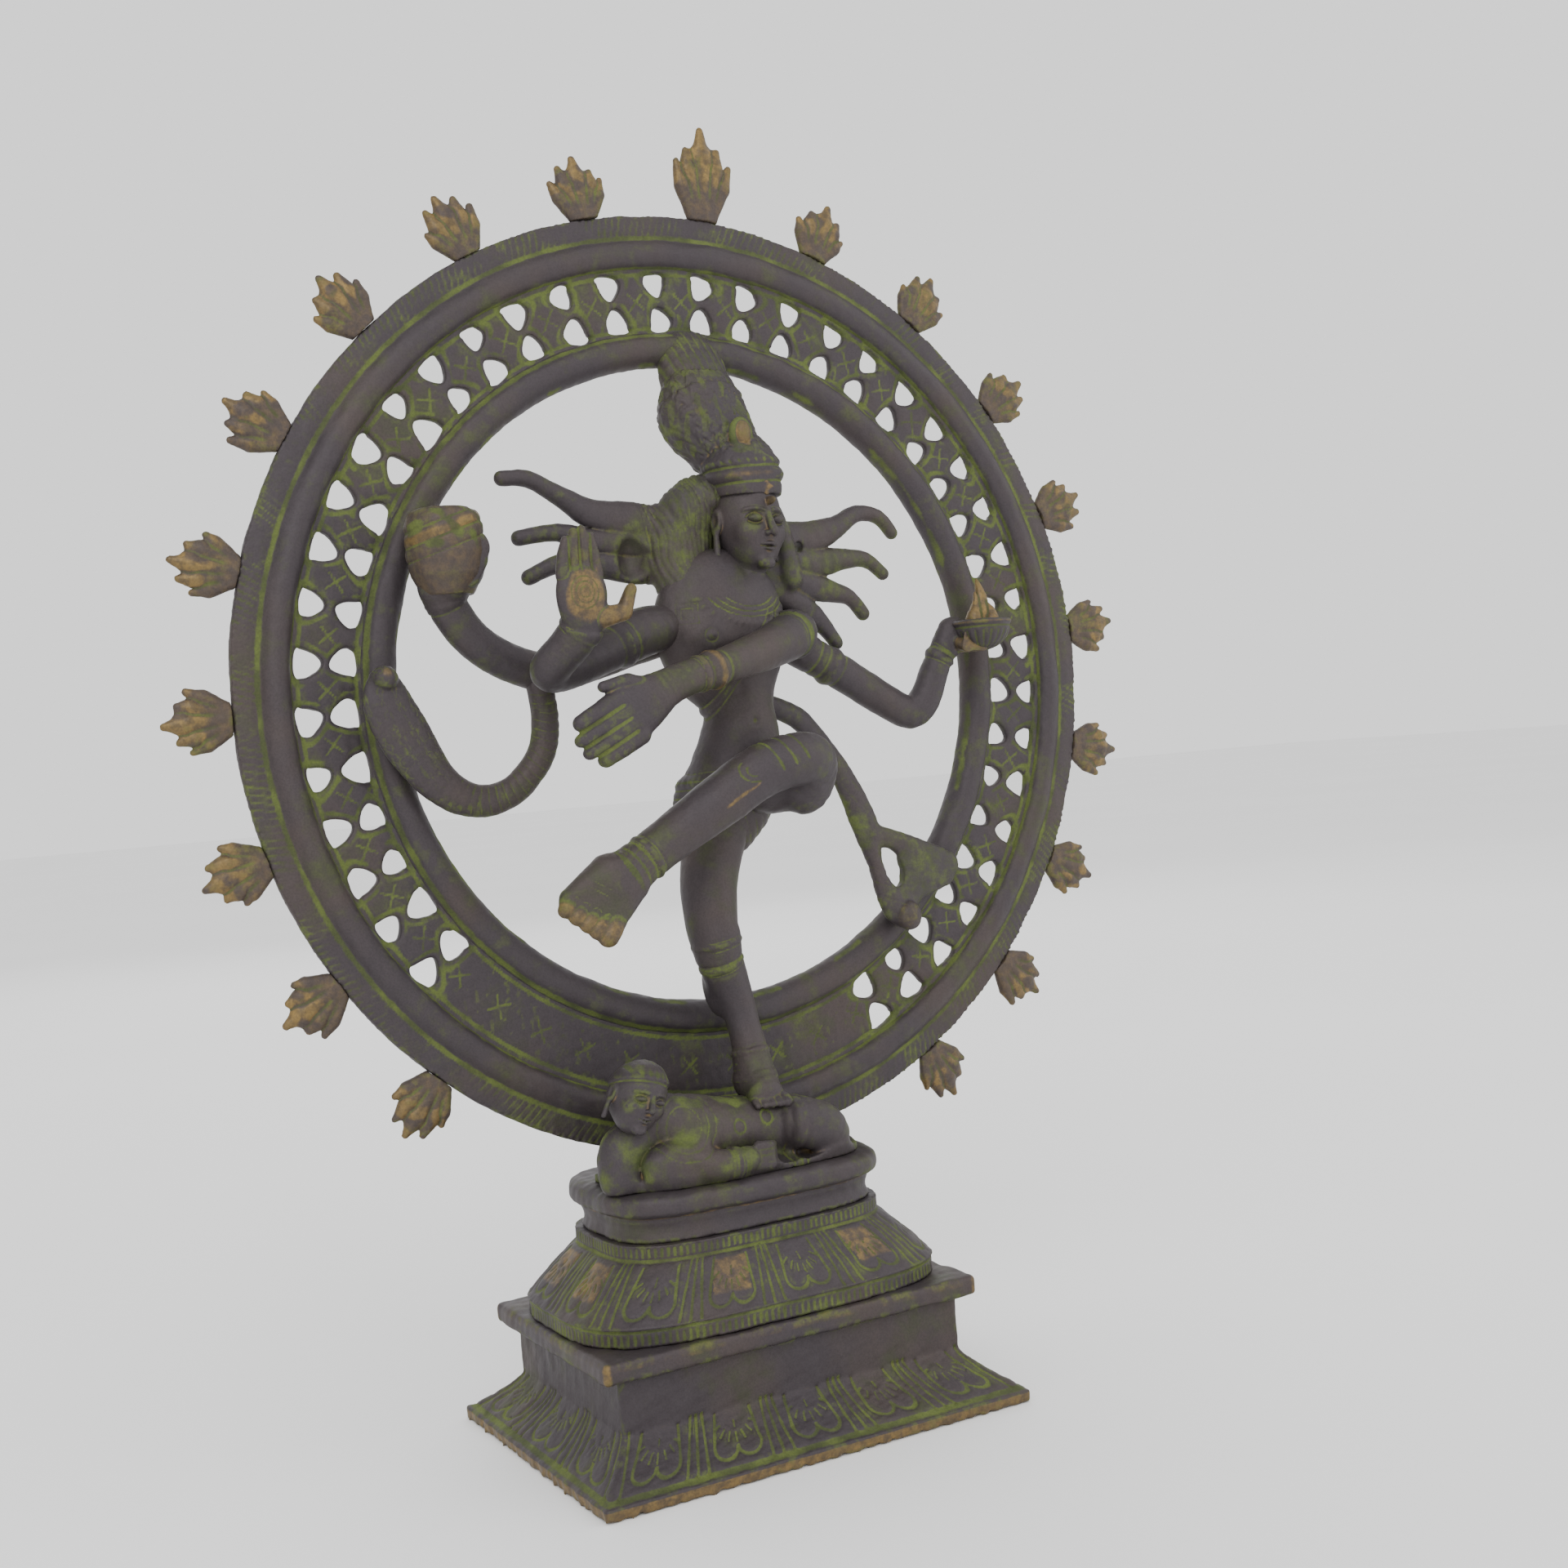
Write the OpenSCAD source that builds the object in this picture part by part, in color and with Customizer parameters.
// Dancing figure in a ring of flames on a lotus pedestal: cast brass parts, pinned and brazed.
// Millimetres, +Z up, -Y is the front. The origin is at table height under the ring's middle.

/* [Plinth] */
// Length of the plinth at its foot
plinth_l = 86.4; // [75:0.2:110]
// Depth of the plinth at its foot, front to back
plinth_w = 67.4; // [58:0.2:85]
// Height of the raw upright edge at the foot
foot_h = 2.2; // [1.5:0.1:4]
// Height of the flared skirt above the foot
skirt_h = 7.8; // [4:0.1:10]
// How far the skirt flares out at each end
skirt_flare_l = 8.5; // [4:0.1:11]
// How far the skirt flares out at the front and back
skirt_flare_w = 10.1; // [4:0.1:12]
// How hollow the skirt's slope is: 1 is straight
skirt_cove = 1.4; // [1:0.1:2]
// Height of the plain upright waist
waist_h = 9.4; // [6:0.1:20]
// Thickness of the casting's wall
plinth_wall = 3.2; // [2.2:0.1:4]

/* [Plinth cap] */
// How far the cap projects past the waist at each end
cap_over_l = 3.4; // [1:0.1:6]
// How far the cap projects past the waist at the front and back
cap_over_w = 2.4; // [1:0.1:6]
// Thickness of the cap
cap_t = 3.8; // [2.5:0.1:6]

/* [Lotus pedestal] */
// How square the pedestal's plan is: 2 is an oval
plan_power = 3.6; // [2:0.1:8]
// Margin between the lotus rim and the cap's edge, at each end
rim_margin_l = 1; // [0.2:0.1:4]
// Margin between the lotus rim and the cap's edge, front and back
rim_margin_w = 1; // [0.2:0.1:4]
// Height of the ticked rim at the lotus's foot
rim_h = 3.2; // [2:0.1:5]
// Height of the petalled dome
dome_h = 9.6; // [6:0.1:14]
// How bulging the dome's slope is: 1 is straight
dome_bulge = 1.15; // [1:0.05:2]
// Height of the ticked band above the petals
band_h = 2.6; // [1.5:0.1:4]
// Length of that band
band_l = 55.6; // [50:0.2:66]
// Depth of that band, front to back
band_w = 37; // [36:0.2:44]
// Wall of the hollow dome
dome_wall = 3.4; // [2.5:0.1:4.5]

/* [Deck] */
// Length of the rounded deck
deck_l = 56.6; // [52:0.2:70]
// Depth of the deck, front to back
deck_w = 38; // [37:0.2:48]
// Height of the neck below the deck
neck_h = 4.4; // [1:0.1:6]
// How far the neck is set in from the deck's edge
neck_in = 2.2; // [1:0.1:4]
// Thickness of the deck
deck_t = 4.5; // [4:0.1:9]

/* [Ring] */
// How far the pedestal stands to the left of the ring's middle
pedestal_x = 8.5; // [0:0.5:10]
// How far the ring stands behind the pedestal's middle
ring_y = 9.1; // [7:0.1:11]
// Turn of the ring's pattern, seen from the front
ring_lean = 5.3; // [-10:0.1:10]
// Gap between the ring's lowest edge and the deck
ring_gap = 0.3; // [0.2:0.1:2]
// Diameter of the inner rim
inner_rim_d = 6.8; // [5:0.1:8]
// Diameter of the outer rim
outer_rim_d = 6; // [5:0.1:8]
// Width of the pierced band that shows between the rims
lattice_w = 11.7; // [9:0.1:15]
// Thickness of the pierced band
lattice_t = 2.4; // [1.6:0.1:3]
// Depth that the pierced band sits in each rim
lattice_seat = 1.8; // [1:0.1:2.5]
// Width of the ticked flange outside the outer rim
flange_w = 4.8; // [3:0.1:7]
// Thickness of that flange
flange_t = 2.6; // [2:0.1:3.5]
// Width of each of the two feet of the ring
ring_foot_l = 5; // [4:0.1:7]
// Thickness of each foot, front to back
ring_foot_t = 4; // [3:0.1:5]
// Distance of each foot from the pedestal's middle
ring_foot_x = 17.5; // [14:0.5:19]
// Depth of the mortises that take the feet
mortise_h = 4; // [3:0.1:4.5]

/* [Piercing] */
// Number of pairs of holes in the ring
pair_count = 39; // [25:2:43]
// Angle between one pair and the next
pair_pitch = 7.45; // [7:0.05:8]
// Size of a hole from its middle to its points
hole_r = 2.9; // [1.8:0.1:3]
// Distance between the two rows of holes
row_gap = 6.7; // [6.4:0.1:7.5]

/* [Flames] */
// Angle between one flame and the next
flame_pitch = 16.04; // [12:0.02:18]
// Height of an ordinary flame above the flange
flame_h = 12.2; // [8:0.1:18]
// Width of an ordinary flame
flame_w = 11.2; // [6:0.1:13]
// Height of the flame at the top
top_flame_h = 19; // [12:0.1:24]
// Width of the flame at the top
top_flame_w = 12.4; // [8:0.1:15]
// Thickness of a flame
flame_t = 3.2; // [2:0.1:3.6]

/* [Figure] */
// Height of the dancer and dwarf, from the deck to the top of the crown
figure_h = 151; // [120:1:185]
// Height of the lug that ties the crown to the ring
lug_h = 1.6; // [1:0.1:4]
// Width of the lug
lug_w = 15; // [8:0.1:16]
// Depth of the lug, front to back
lug_t = 8.4; // [6:0.1:9]

/* [Fixing] */
// Diameter of the tie stud that clamps the deck to the pedestal
stud_d = 5; // [4:0.5:6]
// Metal left above the stud's blind hole in the deck
deck_floor = 2; // [1.5:0.1:3]
// Distance across the flats of the nut
nut_af = 8; // [7:0.5:10]
// Thickness of the nut
nut_t = 4; // [3:0.5:5]
// Diameter of the washer
washer_d = 18; // [14:0.5:24]
// Thickness of the washer
washer_t = 1.5; // [1:0.1:2]
// Gap round a pin, stud or tenon in its hole
fit_gap = 0.1; // [0.05:0.05:0.2]
// Gap where a limb is bedded on the body
bed_gap = 0.05; // [0.02:0.01:0.1]

/* [Hidden] */
$fn = 48;
patina = "#57504f";
raw_brass = "#8a6a3c";
verdigris = "#5d6b35";
steel = "#8d8f92";

skirt_steps = 8;
lug_back = 2.6; // how far the lug's middle stands in front of the ring's
lug_overlap = 3; // how far the lug laps the crown and the ring
pair_middle = 77.5; // angle of the middle pair of holes
flange_lap = 0.8; // how far the flange runs into the outer rim
waist_l = plinth_l - 2 * skirt_flare_l;
waist_w = plinth_w - 2 * skirt_flare_w;
skirt_top = foot_h + skirt_h;
cap_z = skirt_top + waist_h;
cap_l = waist_l + 2 * cap_over_l;
cap_w = waist_w + 2 * cap_over_w;
dome_z = cap_z + cap_t;
rim_l = cap_l - 2 * rim_margin_l;
rim_w = cap_w - 2 * rim_margin_w;
band_z = dome_z + rim_h + dome_h;
neck_z = band_z + band_h;
deck_z = neck_z + neck_h + deck_t;

band_total = inner_rim_d + lattice_w + outer_rim_d + flange_w;
ring_inner_r = (figure_h + lug_h - ring_gap - band_total) / 2;
inner_rim_r = ring_inner_r + inner_rim_d / 2;
lattice_in_r = ring_inner_r + inner_rim_d - lattice_seat;
lattice_out_r = ring_inner_r + inner_rim_d + lattice_w + lattice_seat;
outer_rim_r = ring_inner_r + inner_rim_d + lattice_w + outer_rim_d / 2;
flange_r = ring_inner_r + band_total;
ring_z = deck_z + ring_gap + flange_r;
top_angle = 90 - ring_lean;

body_scale = figure_h / 151; // the figure's own points are for a height of 151
stud_top = deck_z - deck_floor;
washer_z = cap_z - plinth_wall - washer_t;
stud_bottom = washer_z - nut_t - 1.5;

// Smooth run of points through a short list of stations
function pick(list, i) = list[max(0, min(len(list) - 1, i))];
function blend(a, b, c, d, t) =
    0.5 * (2 * b + (c - a) * t + (2 * a - 5 * b + 4 * c - d) * t * t
        + (3 * b - a - 3 * c + d) * t * t * t);
function run(list, steps) = [
    for (i = [0 : len(list) - 2], k = [0 : steps - 1])
        blend(pick(list, i - 1), list[i], list[i + 1], pick(list, i + 2), k / steps),
    list[len(list) - 1]
];

module bead(v, sides) {
    translate([v[0], v[1], v[2]]) scale([v[3], v[4], v[3]]) sphere(1, $fn = sides);
}

// A limb through stations of [x, y, z, half width, half depth]
module limb(stations, sides = 12, steps = 2) {
    line = run(stations, steps);
    for (i = [0 : len(line) - 2])
        hull() {
            bead(line[i], sides);
            bead(line[i + 1], sides);
        }
}

module on_pedestal() {
    translate([-pedestal_x, 0, 0]) children();
}

module in_figure() {
    on_pedestal() translate([0, 0, deck_z]) scale(body_scale) children();
}

// Stations are measured from the deck's middle, for a figure 151 high
torso_line = [
    [7, 0, 63.5, 6, 5.5], [8.5, 0, 70, 9, 7.8], [10.5, 0, 77, 8.8, 7], [11.5, 0, 84, 8, 6],
    [10.5, 0, 91, 9.6, 6.8], [9, 0, 98, 13.2, 7.8], [9, 0, 103, 13.6, 7], [12, -0.3, 107, 7, 5.5],
    [14.4, -0.8, 110, 4.4, 4.4]
];
head_line = [
    [14.2, -0.6, 109, 4.2, 4.2], [15.2, -2, 113, 5.4, 6], [15.6, -2, 118, 7, 7.6],
    [16, -1.4, 124.5, 7.4, 8], [16.2, -0.4, 131, 6.8, 7]
];
crown_line = [
    [16, 0, 130, 7.2, 7.4], [14.8, 1.5, 134.5, 6.6, 6.2], [12.6, 3.2, 139, 8, 6.4],
    [10.8, 4.6, 142.4, 8.6, 6.6]
];
standing_leg_line = [
    [7, -0.5, 69, 6.6, 6.4], [3.6, -1, 61.5, 6.2, 6], [1, -2, 53.5, 5.6, 5.4],
    [0.2, -3, 46, 5, 4.9], [1.2, -3, 39.5, 4.6, 4.6], [3.4, -2, 33.5, 3.9, 4],
    [5.2, -2, 28, 3.3, 3.4], [5.8, -3, 23, 3.3, 3.6], [6, -4, 18, 3.7, 4.6], [6, -5.2, 12.6, 4, 6.4]
];
raised_leg_line = [
    [11.5, -3.5, 71, 6, 5.8], [13.4, -9, 71.4, 6.6, 6], [16.6, -14.2, 72.6, 6.2, 5.6],
    [13.6, -18.2, 75, 5, 4.8], [5.5, -18.6, 73.6, 5, 4.8], [-4, -18.4, 68.3, 4.9, 4.6],
    [-14, -18, 62.6, 4.3, 4.2], [-21, -18, 58.2, 4.6, 4.4], [-27, -19, 54.6, 5.8, 3.8],
    [-31.4, -20, 51.4, 5.6, 2.8]
];
front_left_arm_line = [
    [25.4, 0.4, 99.8, 4, 4], [21.6, -4.6, 98.6, 4.7, 4.6], [13, -9.6, 95.9, 4.1, 3.9],
    [2, -14, 93, 3.6, 3.4], [-8, -17, 90.6, 3.5, 3.2], [-16.5, -18, 87.2, 4.4, 2.6],
    [-23.5, -19, 83.6, 5, 2.2], [-28.4, -19.4, 80.8, 4.2, 1.8]
];
front_right_arm_line = [
    [-3, 0, 101.5, 4.2, 4.2], [-8.5, -2, 100.6, 4.6, 4.4], [-18, -4, 97, 4, 3.8],
    [-27.5, -6.6, 93.8, 3.6, 3.6], [-31, -9, 94.6, 3.3, 3.4], [-29, -12, 97.6, 3.2, 3.2],
    [-26, -14.4, 101, 3.8, 2.8], [-26.2, -15.8, 106, 4.8, 2.2], [-26.2, -16.2, 111.5, 4.4, 1.8],
    [-25.8, -16.4, 116.4, 2, 1.4]
];
rear_right_arm_line = [
    [-3, 3, 100, 3.8, 3.4], [-9, 3.4, 98.6, 4, 3.4], [-18, 3.8, 95.8, 3.7, 3.2],
    [-26, 3.6, 94.6, 3.6, 3.2], [-33, 2.8, 96.4, 3.5, 3], [-39.8, 1.8, 100.4, 3.5, 2.9],
    [-44.4, 0.8, 106, 3.6, 2.9], [-46, 0, 110.8, 3.8, 3]
];
rear_left_arm_line = [
    [23, 3, 99, 4, 3.6], [30, 2.8, 95, 3.8, 3.4], [38, 3, 90.4, 3.6, 3.2], [46, 3, 85.4, 3.5, 3.2],
    [52, 2.6, 82, 3.5, 3.2], [55.4, 1.8, 84.6, 3.4, 3], [57.6, 1.2, 90, 3.2, 2.8],
    [61.4, 0, 97, 4, 2.6], [65, -1, 101, 3.4, 2]
];
cobra_line = [
    [-28, 2.4, 91.6, 2.4, 2.2], [-27.6, 2.6, 86, 2.6, 2.4], [-29.4, 2.8, 79, 2.6, 2.4],
    [-35, 2.8, 73, 2.7, 2.4], [-42, 2.6, 72, 2.9, 2.4], [-49, 2.2, 76.4, 3.4, 2.4],
    [-54.2, 1.6, 84, 4.4, 2.2], [-57.4, 1.2, 91, 4.2, 2], [-57.4, 1, 95, 2, 1.4]
];
sash_line = [
    [18, 2.4, 86, 2.2, 1.8], [25.6, 3, 83, 2.2, 1.6], [31, 4, 77.6, 2.2, 1.6], [36.6, 5, 70, 2.6, 1.6],
    [40.4, 4.4, 60, 3.2, 1.6], [41.8, 3.6, 52, 1.8, 1.6], [44.6, 2.8, 43.6, 3, 1.6],
    [46.8, 2.6, 41.6, 2.8, 1.6]
];
sash_upper_tie = [[42.6, 4, 56.8, 2, 1.4], [49.5, 3.6, 54.4, 2, 1.4], [58.6, 3.6, 51, 2.6, 1.4]];
sash_lower_tie = [[46.6, 3, 43.8, 2.6, 1.4], [52, 3.4, 46, 2.2, 1.4], [58, 3.6, 48.8, 2.6, 1.4]];
left_locks = [
    [[6, 2.6, 119, 5, 1.8], [-6, 3.6, 121.4, 4.4, 1.8], [-16, 4.2, 124.6, 2.8, 1.8],
        [-24, 4.6, 129.6, 1.8, 1.6], [-31, 5, 130.2, 1.5, 1.4]],
    [[6, 2.6, 116, 4.6, 1.8], [-7, 3.6, 117.6, 4, 1.8], [-19, 4.4, 119.6, 1.9, 1.6],
        [-29, 5, 120.4, 1.5, 1.4]],
    [[6, 2.6, 113.6, 4, 1.8], [-7, 3.6, 113.8, 3.6, 1.8], [-18, 4.4, 114.2, 1.9, 1.6],
        [-27.6, 5, 112.4, 1.5, 1.4]],
    [[8, 1.8, 125, 3.6, 3.6], [2.6, 1.6, 121, 5.6, 3.8], [1.6, 1, 115, 5.4, 4], [1.4, 0.6, 110.4, 4.6, 4]]
];
right_locks = [
    [[20, 1.6, 117.4, 4.4, 1.8], [30, 3, 118, 3.6, 1.8], [39, 4, 121.4, 2.2, 1.6],
        [47, 4.6, 123.6, 1.7, 1.4], [52.6, 5, 119.6, 1.4, 1.3]],
    [[20, 1.6, 114.6, 4.4, 1.8], [31, 3, 114, 3.6, 1.8], [41, 4, 114.4, 2, 1.6],
        [49.6, 5, 111.4, 1.4, 1.3]],
    [[20, 1.6, 112, 4.2, 1.8], [30, 3, 109.6, 3.4, 1.8], [38, 4, 107.4, 2, 1.6],
        [44, 5, 103.4, 1.4, 1.3]],
    [[20, 1.6, 110, 3.8, 1.8], [28, 3, 106, 3, 1.8], [33.4, 4.2, 101.4, 1.9, 1.6],
        [37.6, 5, 97.6, 1.4, 1.3]]
];
dwarf_line = [
    [-17, -9.4, 12.4, 4.6, 4.2], [-10.5, -8.4, 8.6, 6.6, 6.2], [-3, -7, 7, 6.4, 7], [5, -6, 6.6, 6, 7],
    [11, -6.4, 6.2, 5.8, 6.6], [16, -6, 5.4, 5, 5], [20, -5.6, 4.6, 4, 3.8]
];
dwarf_near_arm = [[-10, -12, 7, 3.4, 3.2], [-10.4, -14.6, 3.6, 2.8, 2.8], [-6, -15.6, 3.2, 2.6, 2.6],
    [-1.6, -15.2, 4, 2.4, 2.4]];
dwarf_far_arm = [[-19, -8, 9, 4, 3.6], [-23.6, -8, 6.4, 3.8, 3.6], [-24, -8.4, 2.6, 3.4, 3]];
dwarf_near_leg = [[10, -9.6, 7, 4, 3.4], [11.6, -12.8, 7, 4.2, 3.4], [14.6, -13.4, 5.6, 4, 3.2],
    [17.4, -12.6, 4, 3, 2.6]];
dwarf_head_at = [-21, -10, 16.6];
dwarf_head_r = 7;
drum_at = [-45, -0.8, 108.6];
drum_profile = [[0, 0], [4.4, 0], [6.4, 3.6], [7.2, 7.4], [7.2, 13], [6.2, 15.6], [0, 16.4]];
bowl_at = [67, -3.4, 99];
bowl_r = 6;
bowl_wall = 1.2;
bowl_flame_profile = [[0, 0], [2.2, 0.6], [3.4, 3], [3, 6], [1.4, 9.4], [0, 12.6]];

module skirt_profile(half, flare) {
    curve = [for (t = [0 : 1 / skirt_steps : 1])
        [half - flare * (1 - pow(1 - t, skirt_cove)), foot_h + skirt_h * t]];
    right = concat([[half, 0]], curve, [[half - flare, cap_z]]);
    polygon(concat(right, [for (i = [len(right) - 1 : -1 : 0]) [-right[i][0], right[i][1]]]));
}

module plinth() {
    color(patina)
    on_pedestal() difference() {
        intersection() {
            rotate([90, 0, 0])
                linear_extrude(plinth_w + 2, center = true) skirt_profile(plinth_l / 2, skirt_flare_l);
            rotate([90, 0, 90])
                linear_extrude(plinth_l + 2, center = true) skirt_profile(plinth_w / 2, skirt_flare_w);
        }
        translate([0, 0, (cap_z - plinth_wall) / 2 - 1])
            cube([waist_l - 2 * plinth_wall, waist_w - 2 * plinth_wall, cap_z - plinth_wall + 2],
                center = true);
        stud_hole();
    }
}

module stud_hole() {
    translate([0, 0, -1]) cylinder(d = stud_d + 2 * fit_gap, h = stud_top + 1);
}

module plinth_cap() {
    color(patina)
    on_pedestal() difference() {
        translate([-cap_l / 2, -cap_w / 2, cap_z]) cube([cap_l, cap_w, cap_t]);
        stud_hole();
    }
}

function oval(l, w, z, sides = 48) = [for (k = [0 : sides - 1])
    let (c = cos(360 * k / sides), s = sin(360 * k / sides))
    [sign(c) * pow(abs(c), 2 / plan_power) * l / 2, sign(s) * pow(abs(s), 2 / plan_power) * w / 2, z]];

// A stack of squared ovals [length, depth, height], closed by flat ends
module oval_stack(levels, sides = 48) {
    n = len(levels);
    points = [for (v = levels) each oval(v[0], v[1], v[2], sides = sides)];
    walls = [for (i = [0 : n - 2], k = [0 : sides - 1])
        let (a = i * sides + k, b = i * sides + (k + 1) % sides)
        each [[a, b + sides, b], [a, a + sides, b + sides]]];
    bottom = [for (k = [0 : sides - 1]) k];
    top = [for (k = [0 : sides - 1]) n * sides - 1 - k];
    polyhedron(points, concat([bottom], walls, [top]), convexity = 4);
}

// Levels of the dome's side, set in by a wall
function dome_levels(in) = [for (rise = [0 : 0.2 : 1])
    let (t = pow(rise, dome_bulge))
    [rim_l - 2 * in + (band_l - rim_l) * t, rim_w - 2 * in + (band_w - rim_w) * t,
        dome_z + rim_h - in / 2 + (dome_h - in / 2) * rise]];

module lotus_dome() {
    color(patina)
    on_pedestal() difference() {
        oval_stack(concat([[rim_l, rim_w, dome_z]], dome_levels(0), [[band_l, band_w, neck_z]]));
        oval_stack(concat([[rim_l - 2 * dome_wall, rim_w - 2 * dome_wall, dome_z - 1]], dome_levels(dome_wall)));
        stud_hole();
    }
}

module deck() {
    neck = [deck_l - 2 * neck_in, deck_w - 2 * neck_in];
    rounding = [for (a = [-90 : 22.5 : 90])
        [deck_l - 2 * (1 - cos(a)) * neck_in, deck_w - 2 * (1 - cos(a)) * neck_in,
            deck_z - deck_t / 2 + sin(a) * deck_t / 2]];
    color(patina)
    on_pedestal() difference() {
        oval_stack(concat([[neck[0], neck[1], neck_z]], rounding));
        stud_hole();
        for (side = [-1, 1])
            ring_foot_block(side, fit_gap);
    }
}

module tie_stud() {
    color(steel)
    on_pedestal() translate([0, 0, stud_bottom]) cylinder(d = stud_d, h = stud_top - stud_bottom - fit_gap);
}

module stud_washer() {
    color(steel)
    on_pedestal() translate([0, 0, washer_z]) difference() {
        cylinder(d = washer_d, h = washer_t);
        translate([0, 0, -1]) cylinder(d = stud_d + 2 * fit_gap, h = washer_t + 2);
    }
}

module stud_nut() {
    color(steel)
    on_pedestal() translate([0, 0, washer_z - nut_t]) difference() {
        cylinder(d = nut_af / cos(30), h = nut_t, $fn = 6);
        translate([0, 0, -1]) cylinder(d = stud_d + 2 * fit_gap, h = nut_t + 2);
    }
}

// Stands its children, drawn flat, upright around the ring's middle
module in_ring(turn = 0) {
    translate([0, ring_y, ring_z]) rotate([90, 0, 0]) rotate(turn) children();
}

module band_solid(r_in, r_out, t) {
    translate([0, 0, -t / 2]) difference() {
        cylinder(r = r_out, h = t, $fn = 96);
        translate([0, 0, -1]) cylinder(r = r_in, h = t + 2, $fn = 96);
    }
}

module rim_tube(r, d) {
    rotate_extrude($fn = 96) translate([r, 0]) circle(d = d, $fn = 32);
}

module lattice_slot() {
    band_solid(lattice_in_r - fit_gap, lattice_out_r + fit_gap, lattice_t + 2 * fit_gap);
}

module ring_inner_rim() {
    color(patina)
    in_ring() difference() {
        rim_tube(inner_rim_r, inner_rim_d);
        lattice_slot();
    }
}

// One hole: a triangle with cut corners that points along +X
module pierced_hole(r) {
    cut = 0.3;
    corners = [for (k = [0 : 2]) r * [cos(120 * k), sin(120 * k)]];
    polygon([for (k = [0 : 2]) each [
        corners[k] * (1 - cut) + corners[(k + 2) % 3] * cut,
        corners[k] * (1 - cut) + corners[(k + 1) % 3] * cut]]);
}

module ring_lattice() {
    middle = (lattice_in_r + lattice_out_r) / 2;
    color(patina)
    in_ring() difference() {
        band_solid(lattice_in_r, lattice_out_r, lattice_t);
        for (i = [0 : pair_count - 1])
            rotate(pair_middle + (i - (pair_count - 1) / 2) * pair_pitch)
                for (row = [-1, 1])
                    translate([middle + row * row_gap / 2, 0, -lattice_t])
                        linear_extrude(2 * lattice_t) rotate(row > 0 ? 180 : 0) pierced_hole(hole_r);
    }
}

module ring_outer_rim() {
    inner_edge = outer_rim_r + outer_rim_d / 2 - flange_lap;
    color(patina)
    in_ring() difference() {
        union() {
            rim_tube(outer_rim_r, outer_rim_d);
            band_solid(inner_edge, flange_r, flange_t);
        }
        lattice_slot();
    }
}

module ring_foot_block(side, gap) {
    top = ring_z - flange_r + flange_w;
    bottom = deck_z - mortise_h;
    translate([side * ring_foot_x - ring_foot_l / 2 - gap, ring_y - ring_foot_t / 2 - gap, bottom - gap])
        cube([ring_foot_l + 2 * gap, ring_foot_t + 2 * gap, top + 3 - bottom + gap]);
}

module ring_foot(side) {
    color(patina)
    difference() {
        on_pedestal() ring_foot_block(side, 0);
        in_ring() rotate_extrude($fn = 96) translate([0, -ring_foot_t])
            square([flange_r + bed_gap, 2 * ring_foot_t]);
    }
}

module ring_foot_left() {
    ring_foot(-1);
}

module ring_foot_right() {
    ring_foot(1);
}

// Outline of a flame: pointed tongues that rise to the middle one
module flame_outline(h, w) {
    side = [[0.22, 0], [0.26, 0.1], [0.5, 0.3], [0.44, 0.5], [0.56, 0.66], [0.34, 0.66],
        [0.36, 0.86], [0.17, 0.78]];
    polygon(concat([for (p = side) [-p[0] * w, p[1] * h]], [[0, h]],
        [for (i = [len(side) - 1 : -1 : 0]) [side[i][0] * w, side[i][1] * h]]));
}

module flame(i) {
    h = i == 10 ? top_flame_h : flame_h;
    w = i == 10 ? top_flame_w : flame_w;
    color(raw_brass)
    in_ring(top_angle - 90 - (i - 10) * flame_pitch) difference() {
        translate([0, flange_r - 1, -flame_t / 2]) linear_extrude(flame_t) flame_outline(h + 1, w);
        translate([0, 0, -flame_t]) cylinder(r = flange_r + bed_gap, h = 2 * flame_t, $fn = 96);
    }
}

// The rims as plain tubes, to bed the figure's pieces against
module rim_clearance() {
    in_ring() {
        rim_tube(inner_rim_r, inner_rim_d + 2 * bed_gap);
        band_solid(lattice_in_r, lattice_out_r, lattice_t + 2 * bed_gap);
    }
}

module torso_solid() {
    in_figure() limb(torso_line, 20);
}

module torso() {
    color(patina)
    torso_solid();
}

// A limb bedded on the torso
module body_limb(line) {
    color(patina)
    difference() {
        in_figure() limb(line);
        torso_solid();
    }
}

module standing_leg() {
    body_limb(standing_leg_line);
}

module raised_leg() {
    body_limb(raised_leg_line);
}

module front_left_arm() {
    body_limb(front_left_arm_line);
}

module front_right_arm() {
    body_limb(front_right_arm_line);
}

module rear_left_arm() {
    body_limb(rear_left_arm_line);
}

module rear_right_arm() {
    body_limb(rear_right_arm_line);
}

module head() {
    color(patina)
    difference() {
        in_figure() limb(head_line, 18);
        torso_solid();
    }
}

module crown() {
    color(patina)
    difference() {
        in_figure() limb(crown_line, 18);
        in_figure() limb(head_line, 18);
        rim_clearance();
    }
}

module crown_lug() {
    lug_x = crown_line[3][0] * body_scale - pedestal_x;
    color(patina)
    difference() {
        translate([lug_x, ring_y - lug_back, deck_z + figure_h - lug_overlap])
            linear_extrude(lug_h + 2 * lug_overlap) scale([lug_w, lug_t]) circle(d = 1);
        in_figure() limb(crown_line, 18);
        rim_clearance();
    }
}

module hair(locks) {
    color(patina)
    difference() {
        in_figure() for (lock = locks) limb(lock, 8);
        in_figure() limb(head_line, 18);
        torso_solid();
    }
}

module hair_left() {
    hair(left_locks);
}

module hair_right() {
    hair(right_locks);
}

module drum() {
    color(raw_brass)
    difference() {
        in_figure() translate(drum_at) rotate_extrude($fn = 40) polygon(drum_profile);
        rim_clearance();
    }
}

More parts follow.
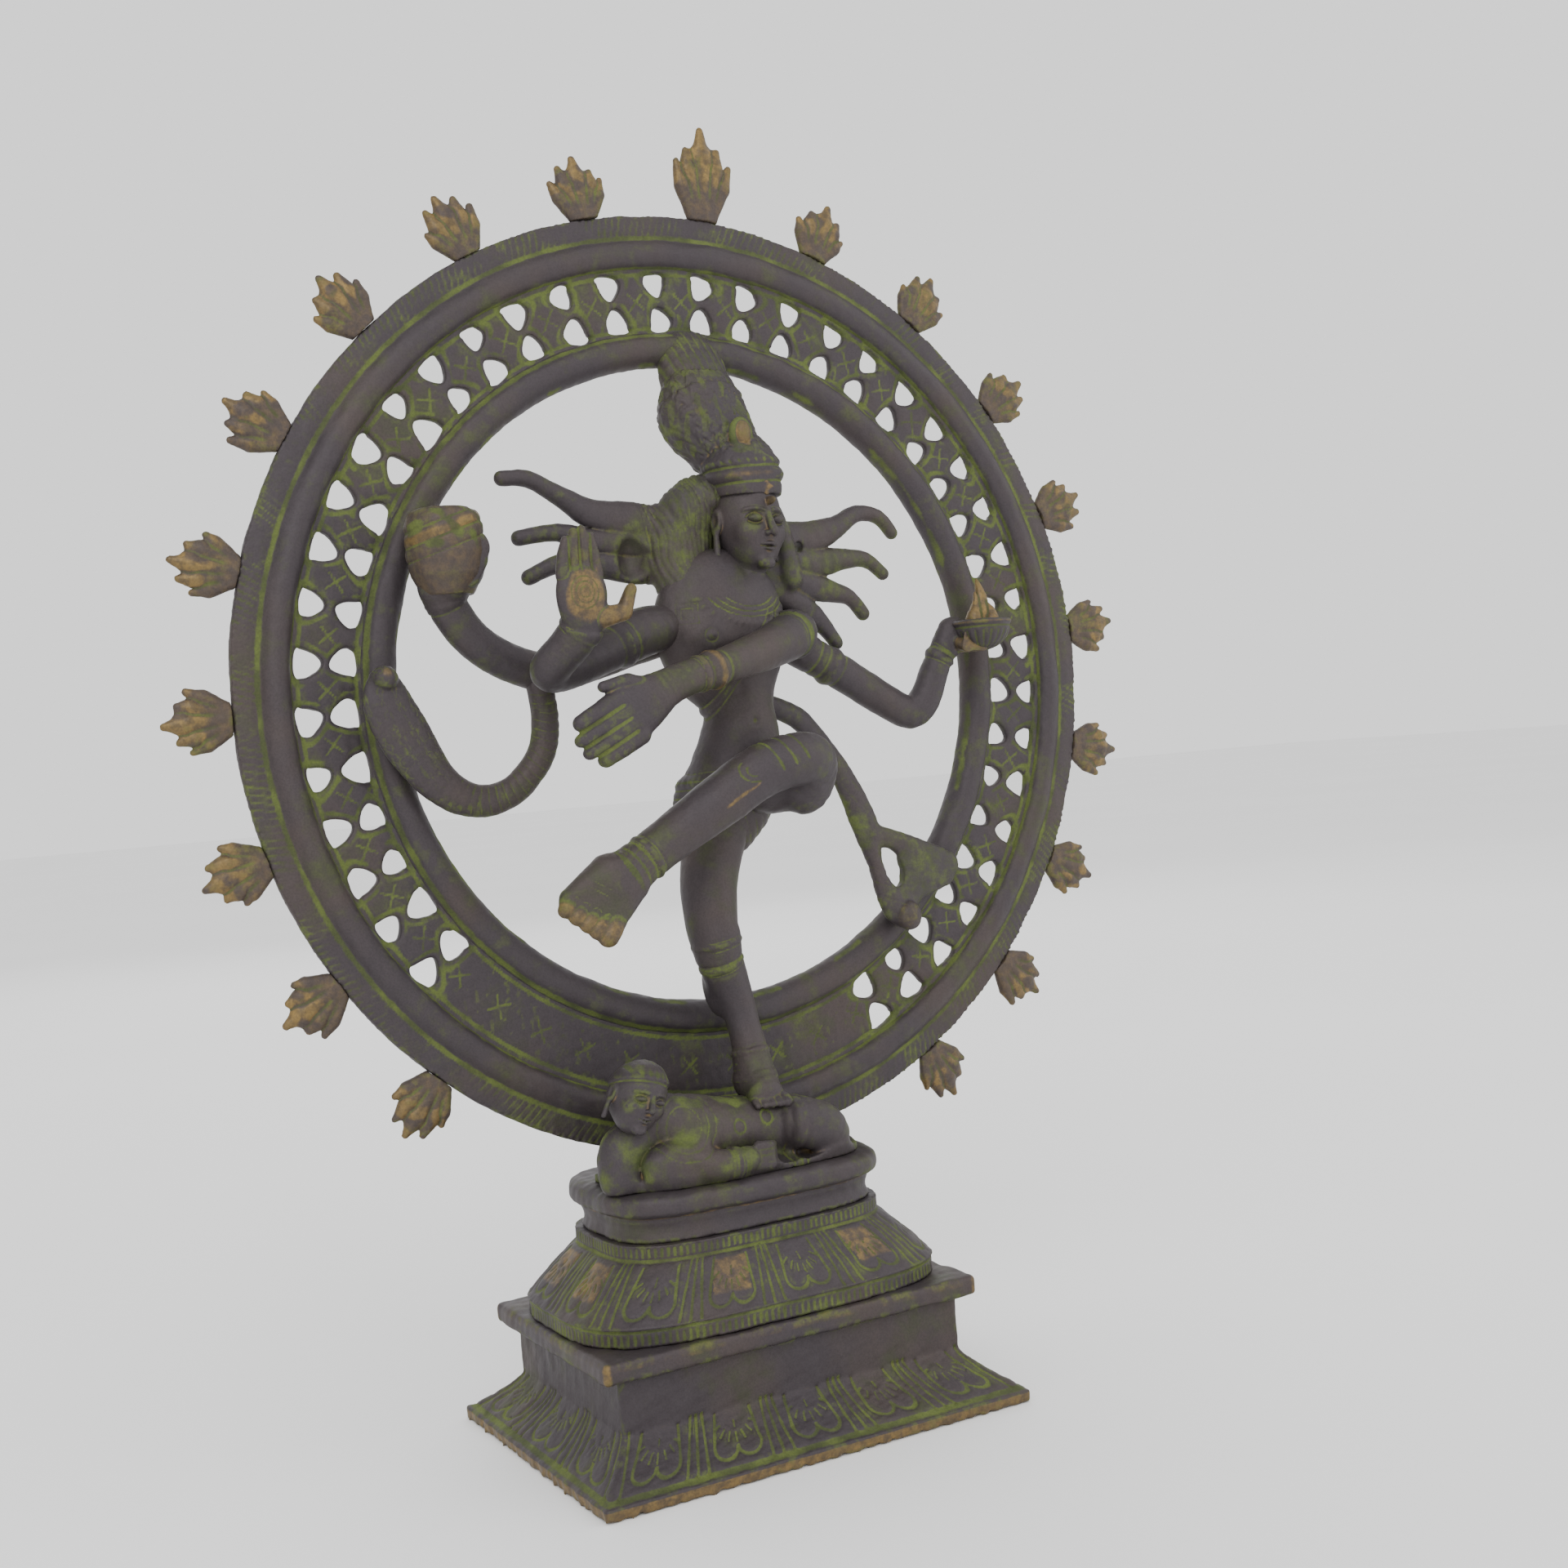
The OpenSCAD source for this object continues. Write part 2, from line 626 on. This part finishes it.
module flame_bowl() {
    color(patina)
    in_figure() translate(bowl_at) difference() {
        sphere(r = bowl_r);
        translate([0, 0, bowl_wall]) sphere(r = bowl_r - bowl_wall);
        translate([-bowl_r - 1, -bowl_r - 1, 1]) cube(2 * bowl_r + 2);
    }
}

module bowl_flame() {
    color(raw_brass)
    in_figure() translate(bowl_at - [0, 0, bowl_r / 2]) rotate_extrude() polygon(bowl_flame_profile);
}

module cobra() {
    color(patina)
    difference() {
        in_figure() limb(cobra_line);
        in_figure() limb(rear_right_arm_line);
        rim_clearance();
    }
}

module sash() {
    color(patina)
    difference() {
        in_figure() {
            limb(sash_line);
            limb(sash_upper_tie);
            limb(sash_lower_tie);
        }
        torso_solid();
        rim_clearance();
    }
}

module dwarf() {
    color(patina)
    difference() {
        in_figure() {
            limb(dwarf_line, 16);
            limb(dwarf_near_arm);
            limb(dwarf_far_arm);
            limb(dwarf_near_leg);
        }
        in_figure() limb(standing_leg_line);
        dwarf_head_ball(bed_gap);
        translate([-pedestal_x, 0, deck_z - deck_l]) cube(2 * deck_l, center = true);
    }
}

module dwarf_head_ball(gap) {
    in_figure() translate(dwarf_head_at) sphere(r = dwarf_head_r + gap, $fn = 32);
}

module dwarf_head() {
    color(patina) dwarf_head_ball(0);
}

plinth();
plinth_cap();
lotus_dome();
deck();
tie_stud();
stud_washer();
stud_nut();
ring_inner_rim();
ring_lattice();
ring_outer_rim();
ring_foot_left();
ring_foot_right();
flame(1);  // flame_01
flame(2);  // flame_02
flame(3);  // flame_03
flame(4);  // flame_04
flame(5);  // flame_05
flame(6);  // flame_06
flame(7);  // flame_07
flame(8);  // flame_08
flame(9);  // flame_09
flame(10);  // flame_10
flame(11);  // flame_11
flame(12);  // flame_12
flame(13);  // flame_13
flame(14);  // flame_14
flame(15);  // flame_15
flame(16);  // flame_16
flame(17);  // flame_17
flame(18);  // flame_18
flame(19);  // flame_19
dwarf();
dwarf_head();
torso();
head();
crown();
crown_lug();
hair_left();
hair_right();
standing_leg();
raised_leg();
front_left_arm();
front_right_arm();
rear_left_arm();
rear_right_arm();
drum();
flame_bowl();
bowl_flame();
cobra();
sash();
